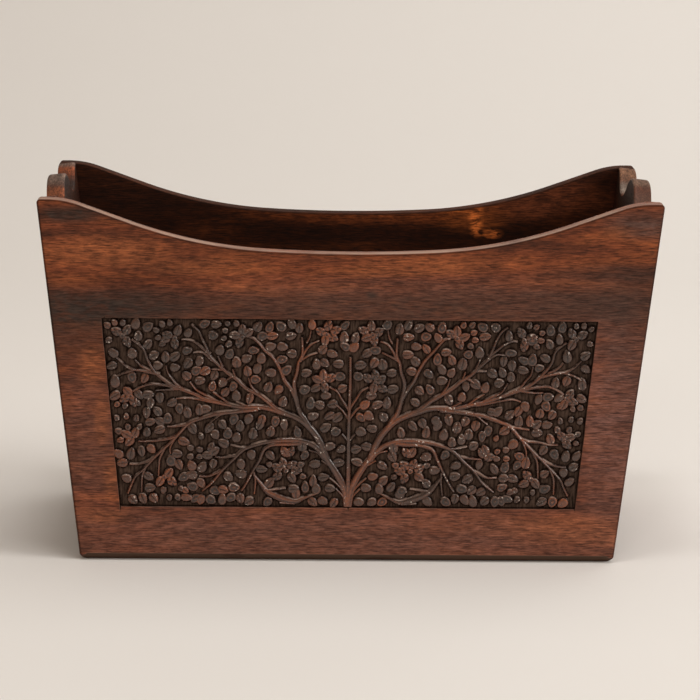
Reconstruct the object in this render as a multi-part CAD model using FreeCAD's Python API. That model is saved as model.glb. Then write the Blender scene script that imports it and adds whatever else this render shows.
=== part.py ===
"""Carved wooden magazine rack.

Two upright long boards, each with a dipped top edge and a sunk carving field, hold two leaning
end boards between them on glued blind dowels. A base board sits in grooves in all four.
X runs along the rack, Y from front to back, Z up; the origin is the middle of the footprint.
All sizes are in millimetres.
"""
import FreeCAD, Part
import math
import os
from FreeCAD import Vector

# Overall sizes
top_width = 406.0            # outside, between the top corners
depth = 170.0                # outside, over the front and back boards
height = 241.7               # floor to the top corners
lean = 6.14                  # outward lean of both ends, in degrees from upright
board = 12.0                 # thickness of the four wall boards

# Dipped top edge of the front and back boards
dip_depth = 34.3             # from the corners down to the lowest point
corner_flat = 7.3            # level stretch at each corner
shoulder_radius = 60.0       # rounding from the level stretch into the slope
dip_slope = 19.7             # steepest slope, in degrees
dip_side_radius = 310.0      # hollow curve at the foot of the slope
dip_floor_slope = 3.2        # slope where the long floor curve meets the side curve, in degrees

# Scalloped top edge of the end boards, measured on their outer faces
shoulder_drop = 0.9          # edge beside the long boards, below the corners
scallop_depth = 14.8         # lowest point of a scallop, below the corners
scallop_run = 31.0           # from a long board's inner face to the lowest point
crown_rise = 2.4             # middle crown, above the corners

# Edge rounding
top_corner_round = 2.6       # outline corners at the top of the long boards
foot_round = 5.0             # outline corners at their foot, outer foot edge of the end boards
scallop_round = 2.0          # outer edge of the scalloped top
face_round = 2.0             # outer face of the long boards, all round
inner_round = 1.5            # inner edge of the scalloped top
foot_chamfer = 4.6           # lower outer edge of the long boards

# Sunk carving field in the outer face of the front and back boards
field_sink = 3.0
field_foot = 37.0            # floor to the field's lower edge
field_top_margin = 43.4      # field's upper edge, below the lowest point of the dip
field_side_margin_top = 33.0
field_side_margin_foot = 30.5

# Base board and its grooves
base_lift = 12.0             # floor to the underside
base_thickness = 9.0
groove_depth = 4.0
groove_clearance = 0.2       # above the base board and past its edges

# Blind dowels between the long boards and the end boards
dowel_diameter = 6.0
dowel_length = 28.0
dowel_clearance = 0.05       # radial
dowel_end_gap = 0.5          # glue space at each end
dowel_in_long_board = 8.0    # how far a dowel enters the front or back board
dowels_per_joint = 3
lowest_dowel = 38.0          # height of the lowest dowel
highest_dowel_drop = 46.0    # highest dowel, below the corners

# Worked out from the sizes above
top_half = top_width / 2
lean_angle = math.radians(lean)
foot_half = top_half - height * math.tan(lean_angle)
outer_y = depth / 2
inner_y = outer_y - board
dip_height = height - dip_depth
base_top = base_lift + base_thickness


def outer_x(z):
    """Half the outside width at height z."""
    return foot_half + z * math.tan(lean_angle)


def inner_x(z):
    """Half the inside width at height z."""
    return outer_x(z) - board / math.cos(lean_angle)


def arc_from(start, radius, from_angle, to_angle):
    """An arc in the XZ plane and its end, for a path whose slope goes between two angles."""
    bend = math.copysign(radius, to_angle - from_angle)

    def at(angle):
        run = bend * (math.sin(angle) - math.sin(from_angle))
        rise = bend * (math.cos(from_angle) - math.cos(angle))
        return start + Vector(run, 0, rise)

    end = at(to_angle)
    return Part.Arc(start, at((from_angle + to_angle) / 2), end).toShape(), end


def mirrored(shape):
    """The same shape on the other side of the rack's middle plane across X."""
    return shape.mirror(Vector(0, 0, 0), Vector(1, 0, 0))


def dip_half():
    """The right half of the dipped edge, from the middle to the corner's level stretch."""
    slope = math.radians(dip_slope)
    floor_slope = math.radians(dip_floor_slope)
    curved_rise = dip_side_radius * (math.cos(floor_slope) - math.cos(slope))
    curved_rise += shoulder_radius * (1 - math.cos(slope))
    curved_run = dip_side_radius * (math.sin(slope) - math.sin(floor_slope))
    curved_run += shoulder_radius * math.sin(slope)
    run_left = top_half - corner_flat - curved_run
    rise_left = dip_depth - curved_rise
    floor_gain = math.tan(floor_slope / 2)
    floor_half = (run_left * math.tan(slope) - rise_left) / (math.tan(slope) - floor_gain)
    floor_radius = floor_half / math.sin(floor_slope)
    straight = (run_left - floor_half) / math.cos(slope)

    floor_curve, at = arc_from(Vector(0, 0, dip_height), floor_radius, 0, floor_slope)
    side_curve, at = arc_from(at, dip_side_radius, floor_slope, slope)
    slope_end = at + Vector(math.cos(slope), 0, math.sin(slope)) * straight
    slope_line = Part.LineSegment(at, slope_end).toShape()
    shoulder, at = arc_from(slope_end, shoulder_radius, slope, 0)
    return [floor_curve, side_curve, slope_line, shoulder], at


def long_board():
    """The front board: outline, eased edges, foot chamfer, carving field, groove and dowel holes."""
    dip_edges, dip_end = dip_half()
    foot_corner = Vector(foot_half, 0, 0)
    top_corner = Vector(top_half, 0, height)
    right_side = [
        Part.LineSegment(foot_corner, top_corner).toShape(),
        Part.LineSegment(top_corner, dip_end).toShape(),
    ] + dip_edges
    bottom = Part.LineSegment(Vector(-foot_half, 0, 0), foot_corner).toShape()
    outline = [bottom] + right_side + [mirrored(edge) for edge in right_side]
    face = Part.Face(Part.Wire(Part.__sortEdges__(outline)))
    solid = face.extrude(Vector(0, board, 0))
    solid.translate(Vector(0, -outer_y, 0))

    solid = solid.makeFillet(foot_round, corner_edges(solid, foot_half))
    solid = solid.makeFillet(top_corner_round, corner_edges(solid, top_half))
    rim = [edge for edge in solid.Edges if all(abs(v.Y + outer_y) < 0.01 for v in edge.Vertexes)]
    solid = solid.makeFillet(face_round, rim)
    solid = solid.cut(foot_wedge())
    solid = solid.cut(carving_field())
    solid = solid.cut(base_space())
    for hole in dowel_set(dowel_diameter / 2 + dowel_clearance, dowel_end_gap):
        solid = solid.cut(hole)
    return solid.removeSplitter()


def corner_edges(solid, half):
    """The two edges through the board's thickness at its outline corners that far from the middle."""
    found = []
    for edge in solid.Edges:
        first, last = edge.Vertexes[0].Point, edge.Vertexes[-1].Point
        through = abs(abs(first.y - last.y) - board) < 0.01
        if through and abs(abs(first.x) - half) < 0.01:
            found.append(edge)
    return found


def foot_wedge():
    """What the chamfer takes off the lower outer edge."""
    corners = [
        Vector(-top_half, -outer_y, 0),
        Vector(-top_half, -outer_y, foot_chamfer),
        Vector(-top_half, -outer_y + foot_chamfer, 0),
    ]
    face = Part.Face(Part.makePolygon(corners + corners[:1]))
    return face.extrude(Vector(top_width, 0, 0))


def carving_field():
    """The sunk field that the vine is carved in."""
    field_top = dip_height - field_top_margin
    half_top = outer_x(field_top) - field_side_margin_top
    half_foot = outer_x(field_foot) - field_side_margin_foot
    corners = [
        Vector(-half_foot, -outer_y, field_foot),
        Vector(half_foot, -outer_y, field_foot),
        Vector(half_top, -outer_y, field_top),
        Vector(-half_top, -outer_y, field_top),
    ]
    face = Part.Face(Part.makePolygon(corners + corners[:1]))
    return face.extrude(Vector(0, field_sink, 0))


def base_block(clearance):
    """The base board, or with a clearance the space its grooves leave for it."""
    half_x = inner_x(base_top) + groove_depth + clearance
    half_y = inner_y + groove_depth + clearance
    corner = Vector(-half_x, -half_y, base_lift)
    return Part.makeBox(2 * half_x, 2 * half_y, base_thickness + clearance, corner)


def base_space():
    return base_block(groove_clearance)


def dowel_set(radius, end_gap):
    """The dowels of the front board's two joints, as solids of the given radius."""
    dowels = []
    start_y = -inner_y - dowel_in_long_board - end_gap
    length = dowel_length + 2 * end_gap
    step = (height - highest_dowel_drop - lowest_dowel) / (dowels_per_joint - 1)
    for number in range(dowels_per_joint):
        z = lowest_dowel + number * step
        x = (outer_x(z) + inner_x(z)) / 2
        for side in (-1, 1):
            foot = Vector(side * x, start_y, z)
            dowels.append(Part.makeCylinder(radius, length, foot, Vector(0, 1, 0)))
    return dowels


def scallop_edges():
    """The wavy top edge of an end board, upright, from front to back on its outer face."""
    stretch = 1 / math.cos(lean_angle)
    shoulder_s = (height - shoulder_drop) * stretch
    valley_s = (height - scallop_depth) * stretch
    crown_s = (height + crown_rise) * stretch
    valley_y = inner_y - scallop_run

    def wave(y_from, s_from, y_to, s_to):
        """Two equal tangent arcs, level at both ends."""
        run, rise = y_to - y_from, s_to - s_from
        radius = (run * run + rise * rise) / (4 * abs(rise))
        half_turn = math.asin(abs(run) / (2 * radius)) / 2
        out = radius * math.sin(half_turn)
        drop = math.copysign(radius * (1 - math.cos(half_turn)), rise)
        middle = Vector(0, y_from + run / 2, s_from + rise / 2)
        near = Vector(0, y_from + out, s_from + drop)
        far = Vector(0, y_to - out, s_to - drop)
        start, end = Vector(0, y_from, s_from), Vector(0, y_to, s_to)
        return [Part.Arc(start, near, middle).toShape(), Part.Arc(middle, far, end).toShape()]

    edges = wave(-inner_y, shoulder_s, -valley_y, valley_s)
    edges += wave(-valley_y, valley_s, 0, crown_s)
    edges += wave(0, crown_s, valley_y, valley_s)
    edges += wave(valley_y, valley_s, inner_y, shoulder_s)
    return edges


def end_board():
    """The right end board: cut upright, eased, leaned outward, then trimmed level at the floor."""
    top = scallop_edges()
    below = -board
    first, last = top[0].Vertexes[0].Point, top[-1].Vertexes[-1].Point
    foot_front, foot_back = Vector(0, -inner_y, below), Vector(0, inner_y, below)
    sides = [
        Part.LineSegment(last, foot_back).toShape(),
        Part.LineSegment(foot_back, foot_front).toShape(),
        Part.LineSegment(foot_front, first).toShape(),
    ]
    face = Part.Face(Part.Wire(Part.__sortEdges__(top + sides)))
    solid = face.extrude(Vector(-board, 0, 0))
    solid = solid.makeFillet(scallop_round, wavy_edges(solid, 0))
    solid = solid.makeFillet(inner_round, wavy_edges(solid, -board))

    solid.rotate(Vector(0, 0, 0), Vector(0, 1, 0), lean)
    solid.translate(Vector(foot_half, 0, 0))
    ground = Part.makeBox(top_width, depth, 2 * board, Vector(0, -outer_y, -2 * board))
    solid = solid.cut(ground)
    foot_edge = [edge for edge in solid.Edges if is_outer_foot(edge)]
    solid = solid.makeFillet(foot_round, foot_edge)

    solid = solid.cut(base_space())
    front_holes = dowel_set(dowel_diameter / 2 + dowel_clearance, dowel_end_gap)
    for hole in front_holes + [to_back(hole) for hole in front_holes]:
        solid = solid.cut(hole)
    return solid.removeSplitter()


def wavy_edges(solid, x):
    """The curved edges of the scalloped top that lie on the face at x."""
    return [
        edge
        for edge in solid.Edges
        if isinstance(edge.Curve, Part.Circle) and all(abs(v.X - x) < 0.01 for v in edge.Vertexes)
    ]


def is_outer_foot(edge):
    points = [vertex.Point for vertex in edge.Vertexes]
    return all(abs(p.z) < 0.01 and abs(p.x - foot_half) < 0.01 for p in points)


def to_back(shape):
    """Turns a front piece half round, so that it becomes the back one."""
    turned = shape.copy()
    turned.rotate(Vector(0, 0, 0), Vector(0, 0, 1), 180)
    return turned


front_board = long_board()
right_end_board = end_board()
front_dowels = Part.makeCompound(dowel_set(dowel_diameter / 2, 0))

nodes = {
    "front_board": front_board,
    "back_board": to_back(front_board),
    "left_end_board": to_back(right_end_board),
    "right_end_board": right_end_board,
    "base_board": base_block(0),
    "front_dowels": front_dowels,
    "back_dowels": to_back(front_dowels),
}

os.makedirs("parts", exist_ok=True)
for name, shape in nodes.items():
    shape.exportStep("parts/" + name + ".step")
    print(name, "solids", len(shape.Solids), "valid", shape.isValid(), "cm3", round(shape.Volume / 1000, 2))
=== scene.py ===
"""Carved wooden magazine rack: five stained boards, with a vine carved into each long side."""
import math
import random

import bmesh
import bpy
import numpy as np
from mathutils import Matrix, Vector


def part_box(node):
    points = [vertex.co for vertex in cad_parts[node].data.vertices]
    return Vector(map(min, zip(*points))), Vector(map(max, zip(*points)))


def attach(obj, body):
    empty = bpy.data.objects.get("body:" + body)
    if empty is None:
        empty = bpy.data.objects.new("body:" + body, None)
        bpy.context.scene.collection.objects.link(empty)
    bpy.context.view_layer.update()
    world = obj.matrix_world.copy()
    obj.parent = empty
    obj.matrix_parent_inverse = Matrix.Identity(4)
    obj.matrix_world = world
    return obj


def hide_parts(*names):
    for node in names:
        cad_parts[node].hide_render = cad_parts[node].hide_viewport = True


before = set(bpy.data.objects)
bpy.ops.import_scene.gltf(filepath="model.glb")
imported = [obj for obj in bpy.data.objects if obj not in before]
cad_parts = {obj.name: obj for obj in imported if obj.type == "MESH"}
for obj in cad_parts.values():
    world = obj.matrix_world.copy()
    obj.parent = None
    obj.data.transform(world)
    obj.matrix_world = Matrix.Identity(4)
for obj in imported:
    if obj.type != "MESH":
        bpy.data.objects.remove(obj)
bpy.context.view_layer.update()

mm = 0.001

# ------------------------------------------------------------------ Base board
# A flat hardwood board that the magazines stand on. It is darker than the outside and
# sits in a groove cut round the inside of all four walls, so only its top shows.


class Finish:
    """A new material, with short ways to lay noise, ramps and mixes under its shader."""

    def __init__(self, name):
        self.material = bpy.data.materials.new(name)
        self.material.use_nodes = True
        self.tree = self.material.node_tree
        self.shader = self.tree.nodes["Principled BSDF"]
        self.place = self.tree.nodes.new("ShaderNodeTexCoord").outputs["Object"]

    def feed(self, socket, value):
        """Links or sets one input."""
        if isinstance(value, bpy.types.NodeSocket):
            self.tree.links.new(value, socket)
        elif socket.type == "RGBA":
            socket.default_value = (*value, 1)
        else:
            socket.default_value = value

    def node(self, kind, inputs, **settings):
        node = self.tree.nodes.new("ShaderNode" + kind)
        for key, value in settings.items():
            setattr(node, key, value)
        for key, value in inputs.items():
            self.feed(node.inputs[key], value)
        return node

    def noise(self, scale, shift, detail, rough=0.5, distortion=0.0):
        """Noise over the object, with its own scale along each axis."""
        mapping = self.node("Mapping", {"Vector": self.place, "Location": shift, "Scale": scale})
        texture = self.node("TexNoise", {
            "Vector": mapping.outputs["Vector"], "Scale": 1.0, "Detail": detail,
            "Roughness": rough, "Distortion": distortion,
        })
        return texture.outputs["Fac"]

    def attribute(self, layer):
        return self.node("Attribute", {}, attribute_name=layer).outputs["Fac"]

    def maths(self, operation, first, second):
        return self.node("Math", {0: first, 1: second}, operation=operation).outputs["Value"]

    def ramp(self, value, *stops):
        """A colour or grey ramp through (position, colour) stops."""
        node = self.node("ValToRGB", {"Fac": value})
        band = node.color_ramp
        while len(band.elements) < len(stops):
            band.elements.new(0.5)
        for element, (at, colour) in zip(band.elements, stops):
            element.position = at
            element.color = (*colour, 1) if isinstance(colour, tuple) else (colour, colour, colour, 1)
        return node.outputs["Color"]

    def mix(self, how, factor, first, second):
        node = self.node("Mix", {}, data_type="RGBA", blend_type=how)
        for name, value in (("Factor", factor), ("A", first), ("B", second)):
            self.feed(next(s for s in node.inputs if s.name == name and s.enabled), value)
        return next(s for s in node.outputs if s.enabled)

    def bumpy(self, height, strength):
        """Lets a height of up to about a tenth of a millimetre show as relief."""
        bump = self.node("Bump", {"Height": height, "Strength": strength, "Distance": 0.12 * mm})
        self.feed(self.shader.inputs["Normal"], bump.outputs["Normal"])


def wood_material(name, stains, grain_along, offset, roughness=0.42, zones=(), scuffs=()):
    """Open-grained hardwood under dark stain and satin lacquer, with wear on its eased edges and painted
    light and shade on some of them.

    The stains are the colours of the darkest streaks, of most of the wood and of the palest
    streaks. The grain runs along X or Y, and the offset moves the figure so that no two boards
    are alike. Zones and scuffs are (along, up, reach along, reach up, strength, colour) patches
    of another stain, in millimetres.
    """
    wood = Finish(name)
    ramp, mix = wood.ramp, wood.mix
    dark, middle, light = stains

    def grain(along, across, detail, rough, distortion=0.0):
        """Noise drawn out along the grain, in cells per metre."""
        scale = [across, across, across]
        scale["XY".index(grain_along)] = along
        return wood.noise(scale, offset, detail, rough, distortion)

    # Broad figure: long soft bands, pale and dark, with a little waviness
    colour = ramp(grain(12, 85, 5.0, 0.6, 0.5), (0.24, dark), (0.50, middle), (0.74, light))
    # Blotches, where the stain took more deeply
    colour = mix("MULTIPLY", 0.7, colour, ramp(grain(15, 34, 2.0, 0.55), (0.36, 0.62), (0.6, 1.08)))

    # Zones stained deeper or rubbed paler, each an ellipse with a broken edge, and streaky scuffs
    ripple = grain(110, 300, 3.0, 0.6, 0.8)
    soft_break = ramp(ripple, (0.34, 0.6), (0.6, 1.0))
    hard_break = ramp(ripple, (0.42, 0.0), (0.56, 1.0))
    patches = [(zone, soft_break) for zone in zones] + [(scuff, hard_break) for scuff in scuffs]
    for (along, up, reach_along, reach_up, strength, patch_colour), edge_break in patches:
        centre, shares = [0, 0, up * mm], [0, 0, 1 / (reach_up * mm)]
        centre["XY".index(grain_along)] = along * mm
        shares["XY".index(grain_along)] = 1 / (reach_along * mm)
        away = wood.node("VectorMath", {0: wood.place, 1: centre}, operation="SUBTRACT")
        away = wood.node("VectorMath", {0: away.outputs["Vector"], 1: shares}, operation="MULTIPLY")
        away = wood.node("VectorMath", {0: away.outputs["Vector"]}, operation="LENGTH")
        near = wood.node("MapRange", {
            "Value": away.outputs["Value"], "From Min": 1.0, "From Max": 0.25, "To Max": strength,
        }, interpolation_type="SMOOTHSTEP")
        colour = mix("MIX", wood.maths("MULTIPLY", near.outputs["Result"], edge_break), colour, patch_colour)

    # Silky streaks along the grain
    streaks = grain(120, 1150, 4.0, 0.68, 0.3)
    colour = mix("MULTIPLY", 0.85, colour, ramp(streaks, (0.36, 0.28), (0.62, 1.42)))
    # Short cross ripple, where the grain rises and falls
    colour = mix("MULTIPLY", 0.5, colour, ramp(ripple, (0.36, 0.5), (0.66, 1.25)))
    # Pores: fine dark dashes
    pores = ramp(grain(150, 2100, 1.0, 0.4), (0.30, 0.35), (0.42, 1.0))
    colour = mix("MULTIPLY", 0.55, colour, pores)

    # Edges rubbed pale, though not evenly: real wear, with a painted highlight on the front board's top band
    # and a painted reflection of the floor on its foot bevel
    wear_and_sheen, sunk, stain_and_shade = (wood.attribute(layer) for layer in ("wear_and_sheen", "sunk", "stain_and_shade"))
    rubbed = wood.maths("MULTIPLY", wear_and_sheen, ramp(grain(22, 60, 3.0, 0.6), (0.36, 0.25), (0.56, 0.95)))
    colour = mix("MIX", rubbed, colour, (0.33, 0.195, 0.135))
    # Floor of a sunk field: dark stain in upright tool marks
    tool_marks = grain(750, 110, 3.0, 0.6)
    tooled = ramp(tool_marks, (0.36, (0.030, 0.019, 0.014)), (0.62, (0.104, 0.066, 0.050)))
    colour = mix("MIX", sunk, colour, tooled)
    # Nearly black: stain in corners and along edges, and painted shade on the foot bevel, on the back board's
    # top edge and on the sunk floor round the carving
    colour = mix("MIX", stain_and_shade, colour, (0.014, 0.008, 0.006))
    wood.feed(wood.shader.inputs["Base Color"], colour)

    # The lacquer is worn dull on the sunk floor and lies matt over the dark stain and painted shade
    matt = wood.maths("MAXIMUM", sunk, stain_and_shade)
    shine = wood.node("MapRange", {"Value": matt, "To Min": 0.24, "To Max": 0.02})
    wood.feed(wood.shader.inputs["Specular IOR Level"], shine.outputs["Result"])
    gloss = ramp(streaks, (0.3, roughness + 0.12), (0.7, roughness - 0.06))
    wood.feed(wood.shader.inputs["Roughness"], mix("MIX", matt, gloss, (0.8, 0.8, 0.8)))
    wood.bumpy(mix("MULTIPLY", 1.0, ramp(streaks, (0.3, 0.4), (0.7, 1.0)), pores), 0.35)
    return wood.material


inside_stains = (0.014, 0.004, 0.002), (0.038, 0.009, 0.003), (0.085, 0.021, 0.006)
inside_stain = wood_material("inside_stain", inside_stains, "X", (0.31, 0.17, 0.05), roughness=0.5)


def stain_node(node, material):
    """Gives its wood to a piece that is kept as the CAD made it."""
    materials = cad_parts[node].data.materials
    materials.clear()
    materials.append(material)


stain_node("base_board", inside_stain)

# ----------------------------------------------------------------- Long boards
# Front and back boards of stained hardwood, sawn from one pattern with a dipped top edge and ends
# that lean in towards the floor. Edges are sanded round, the foot is bevelled, a field in the
# outer face is cut down and punched, and glue and blind dowels hold the end boards between them.

front_low, front_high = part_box("front_board")
board_height = front_high.z / mm
board_thickness = (front_high.y - front_low.y) / mm
outer_face = -front_low.y / mm
top_half = 203.0
lean = math.radians(6.14)
foot_half = top_half - board_height * math.tan(lean)
foot_round = 5.0
foot_bevel_height, foot_bevel_depth = 4.9, 4.6
top_corner_round = 2.6
dip_depth = 34.3
dip_lowest = board_height - dip_depth

field_sink = 3.0
field_foot = 37.0
field_top_margin, field_side_margin_top, field_side_margin_foot = 43.4, 33.0, 30.5
field_top = dip_lowest - field_top_margin
field_half_top = foot_half + field_top * math.tan(lean) - field_side_margin_top
field_half_foot = foot_half + field_foot * math.tan(lean) - field_side_margin_foot


def field_half_at(z):
    """Half the sunk field's width at height z."""
    share = (z - field_foot) / (field_top - field_foot)
    return field_half_foot + share * (field_half_top - field_half_foot)


def sweep(start, radius, slope_from, slope_to, step=2.0):
    """Points along a curve whose slope turns from one angle to another."""
    turn = slope_to - slope_from
    count = max(3, round(radius * abs(turn) / step))
    bend = math.copysign(radius, turn)
    points = []
    for number in range(1, count + 1):
        slope = slope_from + turn * number / count
        run = bend * (math.sin(slope) - math.sin(slope_from))
        rise = bend * (math.cos(slope_from) - math.cos(slope))
        points.append((start[0] + run, start[1] + rise))
    return points


def straight(start, end, step=2.5):
    """Evenly spaced points from start to end, leaving out the start."""
    count = max(1, round(math.dist(start, end) / step))
    return [
        (start[0] + (end[0] - start[0]) * n / count, start[1] + (end[1] - start[1]) * n / count)
        for n in range(1, count + 1)
    ]


def corner_arc(centre, radius, from_angle, to_angle, count=7):
    angles = [from_angle + (to_angle - from_angle) * n / count for n in range(count + 1)]
    return [(centre[0] + radius * math.cos(a), centre[1] + radius * math.sin(a)) for a in angles]


def long_outline():
    """The board's outline, from the middle of the foot round the right side, closed by symmetry."""
    slope, floor_slope = math.radians(19.7), math.radians(3.2)
    side_radius, shoulder_radius, corner_flat = 310.0, 60.0, 7.3
    curved_rise = side_radius * (math.cos(floor_slope) - math.cos(slope))
    curved_rise += shoulder_radius * (1 - math.cos(slope))
    curved_run = side_radius * (math.sin(slope) - math.sin(floor_slope))
    curved_run += shoulder_radius * math.sin(slope)
    run_left = top_half - corner_flat - curved_run
    rise_left = dip_depth - curved_rise
    floor_gain = math.tan(floor_slope / 2)
    floor_half = (run_left * math.tan(slope) - rise_left) / (math.tan(slope) - floor_gain)
    length = (run_left - floor_half) / math.cos(slope)

    dip = [(0.0, dip_lowest)]
    dip += sweep(dip[-1], floor_half / math.sin(floor_slope), 0, floor_slope)
    dip += sweep(dip[-1], side_radius, floor_slope, slope)
    slope_end = (dip[-1][0] + length * math.cos(slope), dip[-1][1] + length * math.sin(slope))
    dip += straight(dip[-1], slope_end)
    dip += sweep(dip[-1], shoulder_radius, slope, 0)

    foot_inset = foot_round / math.tan((math.pi / 2 + lean) / 2)
    top_inset = top_corner_round / math.tan((math.pi / 2 - lean) / 2)
    foot_corner = corner_arc((foot_half - foot_inset, foot_round), foot_round, -math.pi / 2, -lean)
    top_centre = (top_half - top_inset, board_height - top_corner_round)
    top_corner = corner_arc(top_centre, top_corner_round, -lean, math.pi / 2)
    right = [(0.0, 0.0)] + straight((0.0, 0.0), foot_corner[0]) + foot_corner[1:]
    right += straight(foot_corner[-1], top_corner[0]) + top_corner[1:]
    right += straight(top_corner[-1], dip[-1])[:-1] + dip[::-1]
    return right + [(-x, z) for x, z in right[-2:0:-1]]


def outward_normals(outline):
    """Unit normals of a closed anticlockwise outline."""
    normals = []
    for number in range(len(outline)):
        before, after = outline[number - 1], outline[(number + 1) % len(outline)]
        run, rise = after[0] - before[0], after[1] - before[1]
        length = math.hypot(run, rise)
        normals.append((rise / length, -run / length))
    return normals


def smoothstep(low, high, value):
    share = min(1.0, max(0.0, (value - low) / (high - low)))
    return share * share * (3 - 2 * share)


def edge_rings(outline, wear):
    """Rings of (across, up, depth, wear and sheen, stain and shade) round an edge from its outer to inner
    face.

    The top edge is eased least outside and most inside, and the foot has a flat bevel outside.
    """
    steps = 6
    face_border = 0.3
    outer_side_ease, outer_top_ease = 1.8, 0.9
    inner_side_ease, inner_top_ease = 0.25, 1.0
    normals = outward_normals(outline)
    rings = []

    def ring(section, wear_and_sheen, stain_and_shade, at_foot=0.0, under_top=0.0):
        points = []
        for (x, z), normal in zip(outline, normals):
            inset, depth = section(normal)
            top = smoothstep(0.35, 0.8, normal[1])
            foot = smoothstep(0.5, 0.95, -normal[1])
            points.append((
                x - normal[0] * inset, z - normal[1] * inset, depth,
                # Pale: wear on the top edge, partly a painted highlight on the front board's top band, and a
                # painted reflection of the floor on the foot bevel
                wear_and_sheen * top * wear + 2.2 * at_foot * foot,
                # Dark: darker down the sides and under the front board's top band, and painted shade on the
                # foot bevel and on the back board's top edge
                stain_and_shade * 0.55 * (1 - top) * (1 - foot) + 0.75 * (1 - wear) * top * (stain_and_shade > 0)
                + 0.74 * at_foot * foot + under_top * top * wear,
            ))
        rings.append(points)

    def outer(normal, share):
        at_top = smoothstep(0.3, 0.8, normal[1])
        radius = outer_side_ease + (outer_top_ease - outer_side_ease) * at_top
        bevel = smoothstep(0.2, 0.97, -normal[1])
        angle = share * math.pi / 2
        inset = (1 - bevel) * radius * (1 - math.sin(angle)) + bevel * foot_bevel_height * (1 - share)
        depth = (1 - bevel) * radius * (1 - math.cos(angle)) + bevel * foot_bevel_depth * share
        return inset, depth

    def inner(normal, share):
        at_top = smoothstep(0.3, 0.8, normal[1])
        radius = inner_side_ease + (inner_top_ease - inner_side_ease) * at_top
        angle = share * math.pi / 2
        return radius * (1 - math.cos(angle)), board_thickness - radius * (1 - math.sin(angle))

    ring(lambda normal: (outer(normal, 0)[0] + face_border, 0.0), 0.0, 0.0)
    for step in range(steps + 1):
        share = step / steps
        ring(
            lambda normal, s=share: outer(normal, s), share ** 4, smoothstep(0.0, 0.3, share), 1.0,
            0.55 * (1 - share ** 3),
        )
    for share, wear_and_sheen in ((0.1, 1.0), (0.5, 1.0), (0.8, 0.5), (0.95, 0.1)):
        def between(normal, share=share):
            start, end = outer(normal, 1)[1], inner(normal, 0)[1]
            return 0.0, start + (end - start) * share
        ring(between, wear_and_sheen, 0.6, 1.0)
    for step in range(4):
        ring(lambda normal, s=step / 3: inner(normal, s), 0.0, 0.7)
    ring(lambda normal: (inner(normal, 1)[0] + face_border, board_thickness), 0.0, 0.0)
    return rings


def join_rows(mesh, rows):
    """Joins each closed row of vertices to the next by quads, and returns the quads."""
    faces = []
    for upper, lower in zip(rows, rows[1:]):
        for number in range(len(upper)):
            after = (number + 1) % len(upper)
            faces.append(mesh.faces.new((upper[number], upper[after], lower[after], lower[number])))
    return faces


def add_rings(mesh, rings, place):
    """Adds closed rings joined by quads, and returns the rows of vertices and the quads."""
    wear_and_sheen_layer = mesh.verts.layers.float["wear_and_sheen"]
    stain_and_shade_layer = mesh.verts.layers.float["stain_and_shade"]
    rows = []
    for points in rings:
        row = []
        for across, up, depth, wear_and_sheen, stain_and_shade in points:
            vertex = mesh.verts.new(place(across, up, depth))
            vertex[wear_and_sheen_layer] = wear_and_sheen
            vertex[stain_and_shade_layer] = stain_and_shade
            row.append(vertex)
        rows.append(row)
    return rows, join_rows(mesh, rows)


def fill_between(mesh, *loops):
    """Closes a flat face bounded by one loop, any others being holes, and returns its faces."""
    edges = []
    for loop in loops:
        for number, vertex in enumerate(loop):
            after = loop[(number + 1) % len(loop)]
            edge = mesh.edges.get((vertex, after)) or mesh.edges.new((vertex, after))
            edges.append(edge)
    filled = bmesh.ops.triangle_fill(mesh, use_beauty=True, use_dissolve=False, edges=edges)
    return [item for item in filled["geom"] if isinstance(item, bmesh.types.BMFace)]


def finish_piece(mesh, name, materials, sharp_angle=38.0):
    """Turns a bmesh into a smooth-shaded object with crisp edges, riding on the rack."""
    bmesh.ops.recalc_face_normals(mesh, faces=mesh.faces)
    for edge in mesh.edges:
        edge.smooth = edge.calc_face_angle(0.0) < math.radians(sharp_angle)
    for face in mesh.faces:
        face.smooth = True
    data = bpy.data.meshes.new(name)
    mesh.to_mesh(data)
    mesh.free()
    piece = bpy.data.objects.new(name, data)
    bpy.context.scene.collection.objects.link(piece)
    for material in materials:
        data.materials.append(material)
    shading = piece.modifiers.new("even_shading", "WEIGHTED_NORMAL")
    shading.keep_sharp = True
    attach(piece, "root")
    return piece


def field_loop(columns, rows):
    """Grid positions round the sunk field's edge, anticlockwise from its lower left corner."""
    loop = [(column, 0) for column in range(columns)]
    loop += [(columns, row) for row in range(rows)]
    loop += [(column, rows) for column in range(columns, 0, -1)]
    loop += [(0, row) for row in range(rows, 0, -1)]
    return loop


def board_mesh():
    """An empty mesh whose vertices record wear and painted sheen, dark stain and painted shade, and how sunk
    each spot is.
    """
    mesh = bmesh.new()
    for layer in ("wear_and_sheen", "stain_and_shade", "sunk"):
        mesh.verts.layers.float.new(layer)
    return mesh


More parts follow.
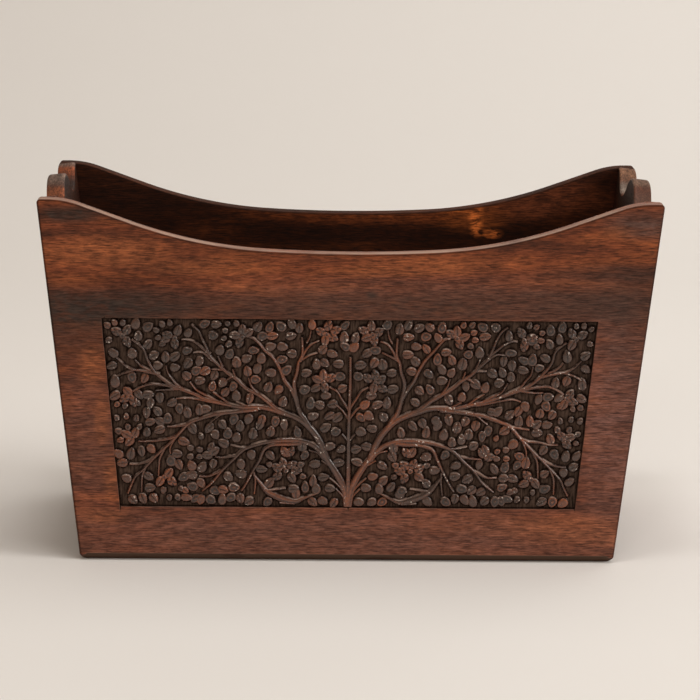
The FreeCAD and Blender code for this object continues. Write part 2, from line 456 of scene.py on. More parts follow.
def long_board(name, node, half_turn, wear, seed, material, inside):
    """One long board as a closed mesh: eased outline, flat faces and the punched sunk field."""
    draw = random.Random(seed)
    mesh = board_mesh()
    wear_and_sheen_layer = mesh.verts.layers.float["wear_and_sheen"]
    sunk_layer = mesh.verts.layers.float["sunk"]
    side = -1.0 if half_turn else 1.0

    def place(across, up, depth):
        return Vector((side * across, side * (depth - outer_face), up)) * mm

    edge_rows, edge_faces = add_rings(mesh, edge_rings(long_outline(), wear), place)

    # The field's floor, one millimetre to a cell, each punch mark a little deeper or shallower
    columns, rows = 318, 127
    furrow_depth, punch_depth, punch_shift = 0.5, 0.3, 0.25
    furrows = [draw.uniform(0.0, furrow_depth) for _ in range(columns + 1)]
    floor = {}
    for row in range(rows + 1):
        up = field_foot + (field_top - field_foot) * row / rows
        half = field_half_at(up)
        for column in range(columns + 1):
            across = -half + 2 * half * column / columns
            at_edge = row in (0, rows) or column in (0, columns)
            depth = field_sink - (0.0 if at_edge else draw.uniform(0.0, punch_depth) + furrows[column])
            shift = 0.0 if at_edge else draw.uniform(-punch_shift, punch_shift)
            vertex = mesh.verts.new(place(across + shift, up, depth))
            vertex[sunk_layer] = 1.0
            floor[column, row] = vertex
    for row in range(rows):
        for column in range(columns):
            mesh.faces.new((
                floor[column, row], floor[column + 1, row],
                floor[column + 1, row + 1], floor[column, row + 1],
            ))

    # Its walls, cut by hand: the rim wanders by a tenth or two of a millimetre
    loop = field_loop(columns, rows)
    middle_up = (field_foot + field_top) / 2
    rim_wander, rim_wave = 0.09, 0.061
    wander = [
        sum(rim_wander * math.sin(wave * number * rim_wave + seed * wave) for wave in (1, 2.7, 5.3))
        for number in range(len(loop))
    ]
    # Where the knife ran on past a corner, and at the vine's root, a nick is left in the margin
    nicks = {
        (0, 0): (0.2, 4.6), (columns, 0): (-0.4, 2.2), (columns // 2, 0): (0.0, 2.4), (2, rows): (0.5, -1.6),
    }
    wall_rows = []
    for out, depth, sunk in ((0.32, 0.0, 0.0), (0.08, 0.22, 0.15), (0.02, 1.0, 0.7)):
        wall_row = []
        for number, spot in enumerate(loop):
            base = floor[spot].co
            across, up = side * base.x / mm, base.z / mm
            if spot[0] in (0, columns):
                across += math.copysign(out + wander[number], across)
            if spot[1] in (0, rows):
                up += math.copysign(out + wander[number], up - middle_up)
            if spot in nicks and depth < 1.0:
                across += nicks[spot][0]
                up -= nicks[spot][1] * (1 - 0.3 * depth)
            vertex = mesh.verts.new(place(across, up, depth))
            vertex[sunk_layer] = sunk
            vertex[wear_and_sheen_layer] = 0.3 if 0.0 < depth < 1.0 else 0.0
            wall_row.append(vertex)
        wall_rows.append(wall_row)
    wall_rows.append([floor[spot] for spot in loop])
    join_rows(mesh, wall_rows)

    fill_between(mesh, edge_rows[0], wall_rows[0])
    inside_border = edge_faces[-2 * len(edge_rows[0]):]
    for face in inside_border + fill_between(mesh, edge_rows[-1]):
        face.material_index = 1
    piece = finish_piece(mesh, name, [material, inside])
    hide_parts(node)
    return piece


walnut_stains = (0.065, 0.020, 0.010), (0.205, 0.052, 0.019), (0.360, 0.100, 0.031)
deep_stain = (0.046, 0.028, 0.021)
dusty_stain = (0.228, 0.096, 0.066)
rubbed_stain = (0.41, 0.128, 0.045)
front_stain = wood_material(
    "front_stain", walnut_stains, "X", (0.0, 0.0, 0.0),
    zones=(
        (0, 16, 330, 34, 0.75, dusty_stain),
        (-170, 85, 40, 70, 0.5, dusty_stain),
        (176, 100, 40, 110, 0.75, (0.205, 0.098, 0.078)),
        (60, 176, 230, 26, 0.5, dusty_stain),
        (-175, 170, 120, 21, 1.0, deep_stain),
        (-182, 150, 60, 24, 0.60, deep_stain),
        (-20, 172, 190, 17, 0.60, deep_stain),
        (120, 174, 150, 21, 0.50, deep_stain),
        (175, 196, 75, 10, 0.60, deep_stain),
        (185, 150, 30, 50, 0.40, deep_stain),
        (176, 178, 70, 16, 0.45, deep_stain),
        (14, 181, 6, 4, 0.80, deep_stain),
        (-182, 232, 32, 8, 1.0, deep_stain),
        (190, 228, 36, 13, 0.9, (0.105, 0.056, 0.044)),
        (-165, 78, 30, 34, 0.30, deep_stain),
        (-40, 16, 130, 16, 0.22, deep_stain),
        (-160, 208, 62, 15, 0.55, rubbed_stain),
        (-90, 198, 60, 9, 0.35, rubbed_stain),
        (-168, 132, 12, 20, 0.55, rubbed_stain),
        (-162, 96, 7, 26, 0.45, rubbed_stain),
        (-156, 56, 7, 22, 0.45, rubbed_stain),
        (-160, 30, 24, 8, 0.35, rubbed_stain),
        (45, 200, 80, 9, 0.30, rubbed_stain),
        (150, 22, 70, 16, 0.40, rubbed_stain),
        (172, 224, 14, 6, 0.35, rubbed_stain),
    ),
)
back_stain = wood_material("back_stain", walnut_stains, "X", (0.7, 0.2, 0.43))
scuff = (0.86, 0.21, 0.045)
back_inside_stain = wood_material(
    "back_inside_stain", inside_stains, "X", (0.63, 0.27, 0.35), roughness=0.5,
    zones=(
        (30, 211, 140, 16, 0.80, (0.27, 0.064, 0.017)),
        (138, 220, 66, 22, 0.75, (0.20, 0.052, 0.020)),
        (88, 205, 34, 14, 0.60, (0.34, 0.085, 0.018)),
        (-150, 222, 80, 26, 0.40, (0.022, 0.008, 0.005)),
    ),
    scuffs=(
        (91, 204, 7, 15, 1.0, scuff),
        (76, 211, 26, 4, 0.6, scuff),
        (101, 194, 12, 5, 0.6, scuff),
    ),
)
front_board = long_board("front_board_carved", "front_board", False, 1.0, 11, front_stain, inside_stain)
back_board = long_board("back_board_carved", "back_board", True, 0.0, 23, back_stain, back_inside_stain)

# ------------------------------------------------------------------ End boards
# Two boards of the same wood that lean out, glued and dowelled between the long boards. Their top
# edge is sawn in a wave, a crown in the middle and a scallop on each side to carry the rack by,
# and rounded over by hand.

inner_y = outer_face - board_thickness


def scallop_heights():
    """Points along the end board's top, as (front to back, up the lean), from front to back."""
    shoulder_drop, valley_drop, crown_rise, valley_inset = 0.9, 14.8, 2.4, 31.0
    stretch = 1 / math.cos(lean)
    shoulder = (board_height - shoulder_drop) * stretch
    valley = (board_height - valley_drop) * stretch
    crown = (board_height + crown_rise) * stretch
    valley_y = inner_y - valley_inset

    def wave(start, end):
        """Two equal tangent curves, level at both ends."""
        run, rise = end[0] - start[0], end[1] - start[1]
        radius = (run * run + rise * rise) / (4 * abs(rise))
        steepest = math.copysign(math.asin(abs(run) / (2 * radius)), rise)
        first = sweep(start, radius, 0, steepest, step=1.0)
        return first + sweep(first[-1], radius, steepest, 0, step=1.0)

    top = [(-inner_y, shoulder)]
    for stop in ((-valley_y, valley), (0.0, crown), (valley_y, valley), (inner_y, shoulder)):
        top += wave(top[-1], stop)
    return top


def end_section(height):
    """The end board's section at one height, as (depth, up the lean, wear and sheen, stain and shade)."""
    outer_round, foot_curve, inner_round = 2.0, 5.0, 1.5
    middle = board_thickness - inner_round
    foot_centre = (foot_curve, foot_curve * (1 - math.sin(lean)) / math.cos(lean))
    foot_arc = corner_arc(foot_centre, foot_curve, -math.pi / 2 - lean, -math.pi, 5)
    outer_arc = corner_arc((outer_round, height - outer_round), outer_round, math.pi, math.pi / 2, 7)
    inner_arc = corner_arc((middle, height - inner_round), inner_round, math.pi / 2, 0, 4)
    outer_wear = [0.1] + [0.15 + 0.7 * smoothstep(0.0, 5.663, step) for step in range(1, 8)]

    section = [(board_thickness, -board_thickness * math.tan(lean), 0.0, 0.5)]
    section += [(*spot, 0.0, 0.6) for spot in foot_arc]
    section += [(0.0, height * share, 0.0, 0.0) for share in (0.25, 0.5, 0.75, 0.93, 0.97)]
    section += [(*spot, wear_and_sheen, 0.0) for spot, wear_and_sheen in zip(outer_arc, outer_wear)]
    section += [(outer_round + share * (middle - outer_round), height, 0.9, 0.0) for share in (0.25, 0.6)]
    section += [(*spot, 0.5, 0.0) for spot in inner_arc]
    return section + [(board_thickness, height * share, 0.0, 0.0) for share in (0.93, 0.75, 0.5, 0.25)]


def end_board(name, node, side, wear, material, inside):
    """One leaning end board as a closed mesh; side is 1 for the right and -1 for the left."""
    mesh = board_mesh()
    wear_and_sheen_layer = mesh.verts.layers.float["wear_and_sheen"]
    stain_and_shade_layer = mesh.verts.layers.float["stain_and_shade"]
    rows = []
    for along, height in scallop_heights():
        row = []
        for depth, up, wear_and_sheen, stain_and_shade in end_section(height):
            x = foot_half + up * math.sin(lean) - depth * math.cos(lean)
            z = up * math.cos(lean) + depth * math.sin(lean)
            vertex = mesh.verts.new(Vector((side * x, side * along, z)) * mm)
            vertex[wear_and_sheen_layer] = wear_and_sheen * wear
            vertex[stain_and_shade_layer] = stain_and_shade + 0.6 * wear_and_sheen * (1 - wear)
            row.append(vertex)
        rows.append(row)
    faces_round, faces_inside = len(rows[0]), 5
    for number, face in enumerate(join_rows(mesh, rows)):
        face.material_index = int(number % faces_round >= faces_round - faces_inside)
    mesh.faces.new(rows[0])
    mesh.faces.new(rows[-1][::-1])
    piece = finish_piece(mesh, name, [material, inside])
    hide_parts(node)
    return piece


end_stains = (0.065, 0.020, 0.010), (0.164, 0.0416, 0.0152), (0.205, 0.052, 0.019)
grey_wear = (0.27, 0.185, 0.145)
end_stain_left = wood_material(
    "end_stain_left", end_stains, "Y", (0.2, 0.9, 0.6),
    zones=(
        (-5, 242, 18, 7, 0.9, grey_wear),
        (-21, 236, 12, 5, 1.0, (0.40, 0.110, 0.038)),
        (-35, 229, 12, 5, 1.0, (0.05, 0.030, 0.022)),
        (65, 237, 10, 5, 1.0, (0.46, 0.105, 0.028)),
        (48, 230, 14, 7, 1.0, (0.022, 0.016, 0.013)),
        (72, 241, 12, 3, 0.8, grey_wear),
    ),
)
end_stain_right = wood_material(
    "end_stain_right", end_stains, "Y", (0.5, 0.4, 0.1),
    zones=(
        (66, 238, 16, 7, 0.9, (0.36, 0.170, 0.090)),
        (52, 230, 12, 7, 0.9, (0.30, 0.25, 0.205)),
        (-23, 234, 18, 9, 0.9, (0.12, 0.045, 0.028)),
        (-4, 243, 14, 4, 0.8, (0.24, 0.150, 0.100)),
    ),
)
inside_end_stain = wood_material("inside_end_stain", inside_stains, "Y", (0.9, 0.3, 0.2), roughness=0.5)
end_board("left_end_scalloped", "left_end_board", -1, 0.12, end_stain_left, inside_end_stain)
end_board("right_end_scalloped", "right_end_board", 1, 0.25, end_stain_right, inside_end_stain)

# ---------------------------------------------------------------- Carved vine
# The vine is the board's own wood, left standing where the field round it is cut away: stems with
# bevelled sides rise from one root and arch outwards, each twig ending in a leaf or a flower. It
# is drawn for one half, as (outward from the middle, up from the floor), and repeated.

trunk = ((0, 39), (0, 60), (0, 90), (1, 120), (1, 139))
boughs = (
    # (width at the start, width at the end, points)
    (5.2, 1.4, ((0, 38), (3, 51), (10, 64), (17, 73), (23, 79), (31, 82), (40, 83), (50, 82), (60, 80),
                (69, 76), (76, 69), (83, 62), (89, 54), (96, 48))),
    (3.2, 1.4, ((31, 81), (38, 80), (45, 80), (51, 79), (56, 76), (59, 69), (63, 61), (67, 53), (70, 48))),
    (4.6, 1.5, ((14, 69), (18, 80), (23, 88), (30, 95), (37, 99), (45, 102), (53, 104), (61, 105),
                (70, 105), (80, 107), (88, 109), (95, 111), (102, 114), (113, 118), (120, 122),
                (127, 128), (132, 136), (135, 144), (142, 150))),
    (3.4, 1.4, ((60, 104), (74, 102), (82, 101), (88, 100), (94, 98), (100, 96), (106, 93), (112, 86),
                (117, 81), (122, 76), (128, 70), (135, 62), (140, 57), (143, 51), (145, 46))),
    (3.4, 1.4, ((38, 100), (47, 104), (53, 109), (59, 113), (66, 117), (70, 120), (73, 123), (79, 127),
                (84, 132), (90, 138), (93, 144), (96, 151), (99, 156), (103, 160))),
    (3.4, 1.5, ((25, 90), (29, 97), (32, 102), (35, 111), (38, 117), (42, 123), (45, 129), (48, 135),
                (51, 139), (55, 143), (58, 147), (62, 151), (66, 152))),
    (3.0, 1.4, ((34, 108), (36, 116), (36, 122), (34, 129), (33, 135), (31, 141), (31, 152))),
)
sweeping_stem = ((62, 59), (58, 53), (54, 48), (49, 45), (42, 42), (35, 41), (29, 43), (20, 47))
twigs = (
    # (width, points)
    (2.0, ((67, 77), (72, 78), (78, 79))),
    (2.2, ((74, 72), (82, 71), (88, 71))),
    (2.4, ((83, 62), (87, 60), (92, 58), (98, 58))),
    (1.8, ((16, 70), (20, 74), (26, 76))),
    (1.8, ((13, 66), (18, 69))),
    (1.8, ((1, 45), (6, 52), (12, 57))),
    (1.6, ((2, 43), (5, 47), (8, 50))),
    (1.8, ((62, 61), (61, 55), (62, 46))),
    (1.8, ((54, 48), (48, 49), (41, 50))),
    (1.4, ((45, 40), (35, 39))),
    (2.4, ((124, 126), (131, 128), (138, 129), (142, 130), (147, 133), (152, 138))),
    (1.8, ((141, 129), (147, 127), (152, 125))),
    (1.8, ((130, 129), (136, 132), (140, 136))),
    (2.6, ((111, 117), (118, 119), (125, 120), (131, 120), (136, 118), (141, 115))),
    (1.8, ((112, 117), (120, 116), (127, 116))),
    (2.2, ((83, 107), (92, 109), (100, 110), (107, 111), (113, 110))),
    (2.0, ((105, 115), (112, 119), (116, 124), (119, 128), (120, 133))),
    (1.9, ((87, 109), (94, 113), (100, 116), (104, 122))),
    (1.8, ((76, 106), (83, 111), (89, 115))),
    (1.8, ((58, 104), (67, 106), (74, 109))),
    (2.4, ((105, 93), (112, 92), (119, 91))),
    (2.6, ((113, 85), (118, 83), (125, 82), (132, 81), (138, 81))),
    (2.4, ((127, 71), (132, 68), (138, 66), (144, 66))),
    (2.0, ((133, 64), (136, 57), (136, 47))),
    (2.2, ((121, 77), (124, 70), (125, 64), (125, 58))),
    (1.7, ((114, 84), (117, 77), (117, 73))),
    (1.9, ((80, 101), (84, 100), (88, 97), (91, 94))),
    (2.2, ((91, 140), (96, 144), (101, 148), (106, 150), (110, 150))),
    (2.0, ((89, 136), (96, 141), (102, 141))),
    (1.8, ((82, 130), (90, 130))),
    (2.2, ((76, 126), (79, 124), (82, 122))),
    (1.6, ((74, 124), (76, 130))),
    (1.6, ((83, 132), (86, 139))),
    (1.8, ((60, 114), (64, 119), (66, 125))),
    (2.0, ((32, 136), (29, 142), (25, 147), (20, 150))),
    (1.6, ((31, 137), (26, 140), (21, 142))),
    (1.4, ((28, 148), (26, 152), (25, 157))),
    (1.9, ((0, 103), (5, 111), (8, 116), (13, 119))),
    (1.6, ((0, 97), (5, 104), (9, 107))),
    (1.4, ((0, 82), (4, 87))),
)

# Leaves: slanting ones point away from the nearest stem, lying ones are level, upright ones stand
slanting_leaves = (
    (82, 80), (103, 58), (22, 66), (65, 41), (154, 141), (142, 124), (124, 111), (116, 107), (114, 138),
    (106, 126), (100, 129), (106, 134), (89, 119), (74, 113), (65, 111), (142, 41), (124, 89), (149, 66),
    (135, 42), (92, 90), (102, 90), (94, 129), (83, 121), (85, 143), (67, 129), (60, 131), (33, 158),
    (17, 144), (16, 135), (11, 141), (25, 161), (3, 146), (4, 152), (11, 107), (6, 68), (5, 77), (8, 98),
    (7, 134), (19, 107), (23, 99), (13, 99), (138, 113), (153, 112), (38, 141), (41, 130), (52, 128),
    (53, 118), (46, 117), (43, 109), (52, 159), (45, 159), (38, 161), (28, 128), (60, 159), (67, 138),
    (95, 160), (87, 160), (131, 158), (128, 139), (130, 107), (133, 101), (126, 102), (111, 103),
    (51, 89), (42, 93), (34, 88), (15, 91), (12, 79), (23, 55), (21, 50), (28, 51), (16, 41), (53, 41),
    (52, 54), (51, 72), (64, 73), (71, 66), (79, 57), (71, 59), (77, 43), (82, 49), (88, 48), (90, 42),
    (71, 43), (109, 57), (96, 64), (103, 65), (83, 93), (76, 96), (66, 97), (58, 93), (88, 86), (74, 84),
    (119, 97), (124, 95), (113, 73), (111, 66), (108, 81), (151, 73), (136, 74), (128, 42), (146, 56),
    (101, 42), (97, 42), (57, 96), (48, 95), (98, 103), (106, 101), (120, 150), (139, 160), (155, 132),
    (29, 72),
)
lying_leaves = (
    (16, 58), (12, 50), (131, 113), (114, 131), (98, 122), (106, 142), (61, 124), (38, 153), (8, 89),
    (6, 126), (15, 113), (44, 146), (50, 153), (29, 117), (63, 143), (89, 153), (94, 103), (57, 63),
    (75, 50), (106, 43), (130, 94), (130, 50), (36, 49),
)
upright_leaves = (
    (153, 122), (142, 141), (120, 138), (117, 68), (74, 135), (22, 134), (25, 108), (58, 138), (34, 47),
    (71, 92), (63, 87), (79, 87), (143, 73), (83, 42), (30, 79),
)
flowers = (
    # (heart, petals, beads round the opening), each as (outward, up)
    ((148, 152), ((145, 148), (145, 156), (152, 155)), ((157, 149), (158, 159), (153, 161), (148, 161))),
    ((114, 151), ((112, 156), (114, 147), (119, 153)),
     ((122, 147), (125, 151), (126, 156), (122, 160), (117, 161))),
    ((70, 152), ((72, 148), (75, 153), (70, 157), (66, 155)),
     ((81, 156), (82, 151), (79, 147), (74, 161), (80, 161))),
    ((15, 154), ((16, 150), (19, 156), (14, 160), (9, 157), (11, 152)), ()),
    ((143, 112), ((145, 115), (141, 108), (147, 110)), ((147, 105), (152, 106), (138, 107))),
    ((142, 84), ((144, 81), (140, 87), (146, 86)),
     ((150, 82), (151, 88), (145, 91), (137, 91), (152, 97), (146, 98), (139, 97))),
    ((121, 57), ((118, 60), (124, 54), (116, 54)), ((122, 48), (118, 43), (112, 43), (110, 49), (107, 48))),
    ((17, 122), ((21, 124), (17, 127), (12, 125), (16, 118), (22, 118)), ()),
    ((41, 62), ((47, 64), (43, 67), (37, 66), (34, 62), (47, 58), (37, 57)), ((52, 66), (31, 66), (30, 58))),
    ((40, 73), ((38, 75), (42, 75)), ()),
    ((91, 72), ((90, 77), (93, 72), (88, 75)), ((98, 76), (98, 71), (97, 85), (104, 77), (104, 71))),
)


def smooth_line(points, step=1.3):
    """Evenly spaced points on a smooth curve through the given ones."""
    spots = np.array(points, dtype=float)
    spots = np.vstack((2 * spots[0] - spots[1], spots, 2 * spots[-1] - spots[-2]))
    line = [tuple(spots[1])]
    for a, b, c, d in zip(spots, spots[1:], spots[2:], spots[3:]):
        count = max(2, round(math.dist(b, c) / step))
        for t in (number / count for number in range(1, count + 1)):
            bend = (2 * a - 5 * b + 4 * c - d) * t * t + (3 * b - a - 3 * c + d) * t ** 3
            line.append(tuple(0.5 * (2 * b + (c - a) * t + bend)))
    return line


class Relief:
    """A carved piece being built: closed islands that stand on the sunk field's floor."""

    root = field_sink + 0.1

    def __init__(self, half_turn):
        self.mesh = bmesh.new()
        self.crest_light_and_shade = self.mesh.verts.layers.float.new("crest_light_and_shade")
        self.tone = self.mesh.verts.layers.float.new("tone")
        self.side = -1.0 if half_turn else 1.0

    def vertex(self, across, up, depth, crest_light_and_shade, tone):
        where = (self.side * across, self.side * (depth - outer_face), up)
        vertex = self.mesh.verts.new(Vector(where) * mm)
        vertex[self.crest_light_and_shade] = crest_light_and_shade
        vertex[self.tone] = tone
        return vertex

    def stem(self, line, widths, top_depth, tone):
        """A tapering stem: bevelled sides, a soft top and one scored line."""
        rows = []
        for number, (across, up) in enumerate(line):
            before, after = line[max(0, number - 1)], line[min(len(line) - 1, number + 1)]
            length = math.dist(before, after)
            normal = (-(after[1] - before[1]) / length, (after[0] - before[0]) / length)
            half = widths[number] / 2
            score = 0.32 * min(1.0, half / 1.6)
            section = (
                # (out from the middle line, depth, crest: painted shade low at the root, painted light on
                # top)
                (-half - 0.3, self.root, 0.0), (-half, 1.5, 0.1), (-0.62 * half, top_depth + 0.3, 0.7),
                (-0.3 * half, top_depth + score, 0.45), (0.02 * half, top_depth, 1.0),
                (0.6 * half, top_depth + 0.25, 0.8), (half, 1.4, 0.2), (half + 0.3, self.root, 0.0),
            )
            rows.append([
                self.vertex(across + normal[0] * out, up + normal[1] * out, depth, crest_light_and_shade, tone)
                for out, depth, crest_light_and_shade in section
            ])
        join_rows(self.mesh, rows)
        self.mesh.faces.new(rows[0])
        self.mesh.faces.new(rows[-1][::-1])

    def pad(self, across, up, angle, half_length, half_width, cut, tone, top_depth=0.3, segments=16):
        """A leaf, petal or bead. cut names its engraving: vein, oval, stripes or dimple."""
        profile = (
            # (share of the outline, depth, crest: painted shade low at the root, painted light on top)
            (1.04, self.root, 0.0), (1.0, 1.5, 0.05), (0.91, 0.62, 0.8), (0.76, 0.22, 1.0),
            (0.5, 0.06, 0.75), (0.24, 0.0, 0.7),
        )
        cosine, sine = math.cos(angle), math.sin(angle)
        rows = []
        for ring_number, (share, depth, crest_light_and_shade) in enumerate(profile):
            row = []
            for segment in range(segments):
                turn = 2 * math.pi * segment / segments
                u = half_length * share * math.cos(turn)
                v = half_width * share * math.sin(turn) * (1 - 0.2 * math.cos(turn))
                v *= 1 - 0.25 * max(0.0, math.cos(turn)) ** 5
                lower, shade = depth, crest_light_and_shade
                # An engraved cut is sunk and darkened with painted shade
                if cut == "vein" and segment in (0, segments // 2) and ring_number > 2:
                    lower, shade = depth + 0.45, 0.3
                elif cut == "oval" and ring_number == 4:
                    lower, shade = depth + 0.4, 0.15
                elif cut == "stripes" and segment % 4 == 2 and ring_number > 1:
                    lower, shade = depth + 0.5, 0.1
                elif cut == "dimple" and ring_number == 5:
                    lower, shade = depth + 0.35, 0.3
                if ring_number > 1:
                    lower += top_depth
                row.append(self.vertex(
                    across + cosine * u - sine * v, up + sine * u + cosine * v, lower, shade, tone,
                ))
            rows.append(row)
        join_rows(self.mesh, rows)
        is_cut = cut in ("vein", "dimple")
        middle = self.vertex(across, up, top_depth + (0.4 if is_cut else 0.0), 0.3 if is_cut else 0.9, tone)
        for number in range(segments):
            self.mesh.faces.new((rows[-1][number], rows[-1][(number + 1) % segments], middle))
        self.mesh.faces.new(rows[0])


class Room:
    """Keeps track of where the sunk field is still empty, on a half-millimetre grid."""

    cell = 0.5

    def __init__(self):
        self.across = np.arange(-field_half_top, field_half_top, self.cell)
        self.up = np.arange(field_foot, field_top, self.cell)
        grid_up, grid_across = np.meshgrid(self.up, self.across, indexing="ij")
        to_side = field_half_at(grid_up) - np.abs(grid_across)
        self.clear = np.minimum(to_side, np.minimum(grid_up - field_foot, field_top - grid_up))
        self.grid_across, self.grid_up = grid_across, grid_up

    def take(self, across, up, radius):
        """Marks a round spot as used."""
        reach = radius + 8.0
        low_u, high_u = np.searchsorted(self.up, (up - reach, up + reach))
        low_a, high_a = np.searchsorted(self.across, (across - reach, across + reach))
        window = (slice(low_u, high_u), slice(low_a, high_a))
        away = np.hypot(self.grid_across[window] - across, self.grid_up[window] - up) - radius
        self.clear[window] = np.minimum(self.clear[window], away)

    def clearance(self, across, up):
        row = min(max(int((up - field_foot) / self.cell), 0), len(self.up) - 1)
        column = min(max(int((across + field_half_top) / self.cell), 0), len(self.across) - 1)
        return self.clear[row, column]

    def snug_spot(self, radius):
        """The spot that a round piece of this radius fits most tightly, or None."""
        fits = np.where(self.clear >= radius, self.clear, np.inf)
        index = np.unravel_index(np.argmin(fits), fits.shape)
        if not np.isfinite(fits[index]):
            return None
        return self.across[index[1]], self.up[index[0]]


def carve_vine(face, board, half_turn, seed, material):
    """Carves the whole vine of one long board: stems, leaves and flowers as three pieces."""
    draw = random.Random(seed)
    stems, leaves, blooms = Relief(half_turn), Relief(half_turn), Relief(half_turn)
    room = Room()
    stem_spots = []

    def near(x, z, wobble):
        """A spot about as close to (x, z) as a hand would carve it."""
        return x + draw.uniform(-wobble, wobble), z + draw.uniform(-wobble, wobble)

    def run_stem(points, side, width_start, width_end, depth, bulge=0.0):
        line = smooth_line([near(side * x, z, 0.35) for x, z in points])
        last = len(line) - 1
        widths = []
        for number in range(last + 1):
            share = number / last
            width = width_start + (width_end - width_start) * share ** 0.8
            widths.append(1.12 * width + bulge * math.sin(math.pi * share) ** 2)
        stems.stem(line, widths, depth, draw.uniform(0.8, 1.0))
        for (x, z), width in zip(line, widths):
            room.take(x, z, width / 2)
            stem_spots.append((x, z))
        return line

    def lean_away(x, z):
        """The direction from the nearest stem to a spot."""
        away = np.array(stem_spots) - (x, z)
        nearest = away[np.argmin(np.hypot(away[:, 0], away[:, 1]))]
        return math.atan2(-nearest[1], -nearest[0])

    def leaf(x, z, angle, size=1.0):
        x, z = near(x, z, 0.5)
        cut = draw.choice(("vein", "vein", "plain", "oval"))
        length, width = 3.9 * size * draw.uniform(0.92, 1.1), 3.0 * size * draw.uniform(0.9, 1.08)
        leaves.pad(x, z, angle, length, width, cut, draw.random() ** 2, draw.uniform(0.05, 0.7))
        room.take(x, z, 3.2 * size)

    def flower(heart, petals, beads, side):
        """Striped petals round a small heart, with beads where the flower opens."""
        tone = draw.uniform(0.45, 1.0)
        x, z = side * heart[0], heart[1]
        blooms.pad(x, z, 0.0, 1.9, 1.9, "dimple", tone, 0.25, 12)
        for petal, up in petals:
            across = side * petal
            outward = math.atan2(up - z, across - x)
            cut = draw.choice(("stripes", "stripes", "vein"))
            angle = outward + draw.uniform(-0.25, 0.25)
            blooms.pad(across, up, angle, 4.0, 2.9, cut, tone, draw.uniform(0.0, 0.3))
            room.take(across, up, 3.5)
        for bead, up in beads:
            across = side * bead + draw.uniform(-0.3, 0.3)
            outward = math.atan2(up - z, across - x)
            size = draw.uniform(0.9, 1.1)
            cut = draw.choice(("dimple", "vein", "plain"))
            blooms.pad(across, up, outward, 2.5 * size, 2.05 * size, cut, draw.random(), 0.3, 12)
            room.take(across, up, 2.3)

    run_stem(trunk, 1, 3.4, 1.6, 0.12)
    for side in (-1, 1):
        for width_start, width_end, points in boughs:
            run_stem(points, side, width_start, width_end, 0.2)
        run_stem(sweeping_stem, side, 1.8, 1.3, 0.28, bulge=3.2)
        for width, points in twigs:
            run_stem(points, side, width, 1.1, 0.34)
    for side in (-1, 1):
        for heart, petals, beads in flowers:
            flower(heart, petals, beads, side)
        for x, z in slanting_leaves:
            leaf(side * x, z, lean_away(side * x, z) + draw.uniform(-0.5, 0.5))
        for x, z in lying_leaves:
            leaf(side * x, z, draw.uniform(-0.25, 0.25))
        for x, z in upright_leaves:
            leaf(side * x, z, math.pi / 2 + draw.uniform(-0.25, 0.25), 1.08)

    # Spare leaves in the widest gaps that are left
    while True:
        spot = room.snug_spot(3.5)
        if spot is None:
            break
        leaf(*spot, lean_away(*spot) + draw.uniform(-0.6, 0.6), 0.95)

    # Painted shade: the sunk floor darkened where it meets the stems and leaves
    stain_and_shade = board.data.attributes["stain_and_shade"].data
    sunk = board.data.attributes["sunk"].data
    for vertex, at_floor, dark in zip(board.data.vertices, sunk, stain_and_shade):
        if at_floor.value == 1.0:
            gap = room.clearance(stems.side * vertex.co.x / mm, vertex.co.z / mm)
            dark.value = 1 - smoothstep(0.25, 1.15, gap)

    for relief, what in ((stems, "stems"), (leaves, "leaves"), (blooms, "flowers")):
        piece = finish_piece(relief.mesh, face + "_" + what, [material], sharp_angle=60.0)


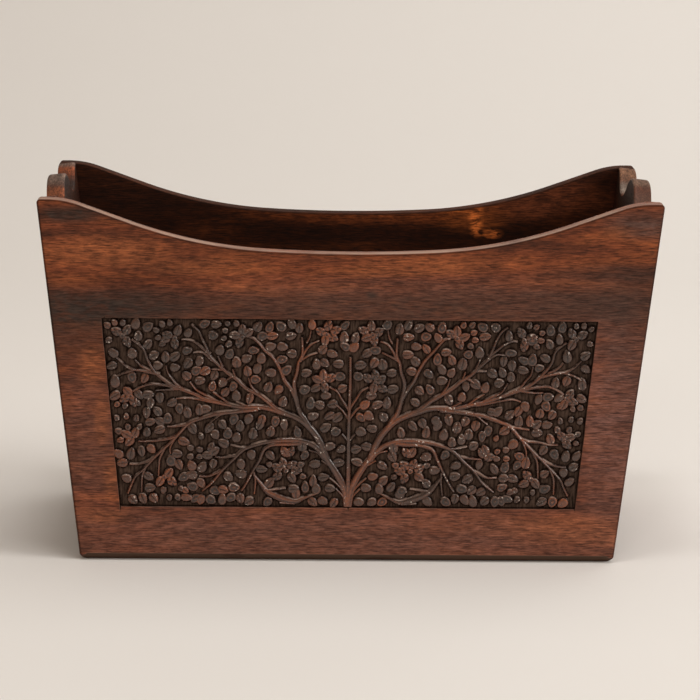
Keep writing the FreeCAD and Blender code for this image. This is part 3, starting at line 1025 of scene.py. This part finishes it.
def carved_material(name, offset):
    """The same wood where it is carved: near black in the cuts and round the roots as painted shade,
    grey-brown on the leaves and lighter towards the crests as painted light, and rubbed back to red-brown on
    the high edges."""
    carved = Finish(name)
    ramp, mix = carved.ramp, carved.mix

    def noise(scale, detail):
        return carved.noise((scale, scale, scale), [scale * part for part in offset], detail)

    crest_light_and_shade, tone = carved.attribute("crest_light_and_shade"), carved.attribute("tone")
    # Painted shade near black where a stem or leaf meets the floor and in its cuts, painted light towards the
    # crest
    shadow_black, red_shadow_black = (0.008, 0.004, 0.003), (0.010, 0.004, 0.003)
    brown = ramp(crest_light_and_shade, (0.0, shadow_black), (0.5, (0.043, 0.027, 0.021)), (1.0, (0.088, 0.049, 0.036)))
    red = ramp(crest_light_and_shade, (0.0, red_shadow_black), (0.5, (0.100, 0.034, 0.019)), (1.0, (0.270, 0.085, 0.038)))
    patches = ramp(noise(28.0, 2.0), (0.42, 0.1), (0.62, 1.0))
    rubbed = mix("MULTIPLY", 1.0, patches, ramp(tone, (0.2, 0.25), (0.9, 1.0)))
    colour = mix("MIX", rubbed, brown, red)
    speckle = noise(900.0, 3.0)
    colour = mix("MULTIPLY", 0.9, colour, ramp(speckle, (0.34, 0.45), (0.62, 1.2)))
    # Painted highlight: edges that face up lightened, as if lit from above
    normal = carved.node("NewGeometry", {}).outputs["Normal"]
    upward = carved.node("SeparateXYZ", {"Vector": normal}).outputs["Z"]
    uneven = ramp(noise(160.0, 2.0), (0.44, 0.0), (0.6, 0.75))
    painted_top_light = mix("MULTIPLY", 1.0, ramp(upward, (0.45, 0.0), (0.75, 1.0)), uneven)
    colour = mix("MIX", painted_top_light, colour, (0.36, 0.25, 0.20))
    # Painted glints: tiny pale specks on the high edges, a few together
    painted_glints = mix("MULTIPLY", 1.0, ramp(crest_light_and_shade, (0.6, 0.0), (0.9, 1.0)),
                ramp(noise(620.0, 1.0), (0.67, 0.0), (0.70, 1.0)))
    painted_glints = mix("MULTIPLY", 1.0, painted_glints, ramp(noise(45.0, 1.0), (0.5, 0.0), (0.56, 1.0)))
    colour = mix("MIX", painted_glints, colour, (0.66, 0.57, 0.50))
    carved.feed(carved.shader.inputs["Base Color"], colour)
    carved.feed(carved.shader.inputs["Roughness"], ramp(speckle, (0.35, 0.42), (0.62, 0.13)))
    carved.feed(carved.shader.inputs["Specular IOR Level"], 0.6)
    carved.bumpy(speckle, 0.8)
    return carved.material


carve_vine("front", front_board, False, 7, carved_material("front_carving", (0.0, 0.0, 0.0)))
carve_vine("back", back_board, True, 19, carved_material("back_carving", (0.4, 0.3, 0.2)))

# --------------------------------------------------------------------- Dowels
# Plain round dowels glued into blind holes where the end boards meet the long boards. They are
# hidden for good once the rack is glued up.

bare_colours = (0.26, 0.16, 0.08), (0.42, 0.28, 0.15), (0.55, 0.38, 0.22)
bare_wood = wood_material("bare_wood", bare_colours, "Y", (0.1, 0.6, 0.8), roughness=0.6)
stain_node("front_dowels", bare_wood)
stain_node("back_dowels", bare_wood)

# --------------------------------------------------------------------- Studio
# A pale seamless sheet that runs along the floor and curves up behind, soft light from above and
# from the right, and a long lens looking slightly down.

floor_front, bend_start, bend_radius, wall_top, half_width = -1.7, 0.9, 1.2, 1.8, 2.6
sheet_line = [(floor_front, 0.0), (bend_start, 0.0)]
sheet_line += [
    (bend_start + bend_radius * math.sin(a), bend_radius * (1 - math.cos(a)))
    for a in (math.pi / 2 * n / 16 for n in range(1, 17))
]
sheet_line.append((bend_start + bend_radius, wall_top))
sheet_data = bpy.data.meshes.new("studio_sheet")
sheet_data.from_pydata(
    [(x, y, z) for y, z in sheet_line for x in (-half_width, half_width)], [],
    [(n, n + 1, n + 3, n + 2) for n in range(0, 2 * len(sheet_line) - 2, 2)],
)
sheet_data.shade_smooth()
studio_sheet = bpy.data.objects.new("studio_sheet", sheet_data)
bpy.context.scene.collection.objects.link(studio_sheet)
paper = bpy.data.materials.new("paper")
paper.use_nodes = True
paper_shader = paper.node_tree.nodes["Principled BSDF"]
paper_shader.inputs["Base Color"].default_value = (0.79, 0.764, 0.733, 1)
paper_shader.inputs["Roughness"].default_value = 0.9
sheet_data.materials.append(paper)


def soft_light(name, at, towards, width, depth, power, colour):
    """A rectangular soft light at one point, facing another."""
    data = bpy.data.lights.new(name, "AREA")
    data.shape = "RECTANGLE"
    data.size, data.size_y = width, depth
    data.energy = power
    data.color = colour
    light = bpy.data.objects.new(name, data)
    light.location = at
    light.rotation_euler = (Vector(towards) - Vector(at)).to_track_quat("-Z", "Y").to_euler()
    bpy.context.scene.collection.objects.link(light)
    return light


soft_light("overhead", (0.45, 0.15, 2.2), (0.2, 0.2, 0.0), 2.4, 2.0, 23.5, (1.0, 0.98, 0.955))
soft_light("above_the_carving", (-0.1, -0.35, 1.9), (0, -0.1, 0.1), 0.35, 0.25, 4.5, (1.0, 0.98, 0.96))
soft_light("on_the_sheet", (1.5, 1.5, 1.5), (0.85, 1.95, 0.45), 0.5, 0.5, 3.4, (0.94, 0.97, 1.0))
soft_light("from_the_right", (3.0, -1.0, 1.75), (0, 0, 0.12), 1.2, 1.2, 56, (1.0, 0.98, 0.96))
from_the_front = soft_light("from_the_front", (-0.4, -2.2, 1.5), (0, 0, 0.12), 0.8, 0.6, 8, (1.0, 0.97, 0.94))
from_the_front.visible_glossy = False

world = bpy.data.worlds.new("room_light")
world.use_nodes = True
background = world.node_tree.nodes["Background"]
background.inputs["Color"].default_value = (1.0, 0.80, 0.60, 1)
background.inputs["Strength"].default_value = 0.25
bpy.context.scene.world = world
bpy.context.scene.view_settings.view_transform = "Standard"

lens = bpy.data.cameras.new("camera")
lens.sensor_width = 36.0
lens.lens = 135.0
camera = bpy.data.objects.new("camera", lens)
tilt_down, turn_right, roll = 0.22095, 0.01906, 0.012198
camera.matrix_world = (
    Matrix.Translation((-0.0316, -1.755, 0.5193))
    @ Matrix.Rotation(-turn_right, 4, "Z")
    @ Matrix.Rotation(math.pi / 2 - tilt_down, 4, "X")
    @ Matrix.Rotation(roll, 4, "Z")
)
bpy.context.scene.collection.objects.link(camera)
bpy.context.scene.camera = camera
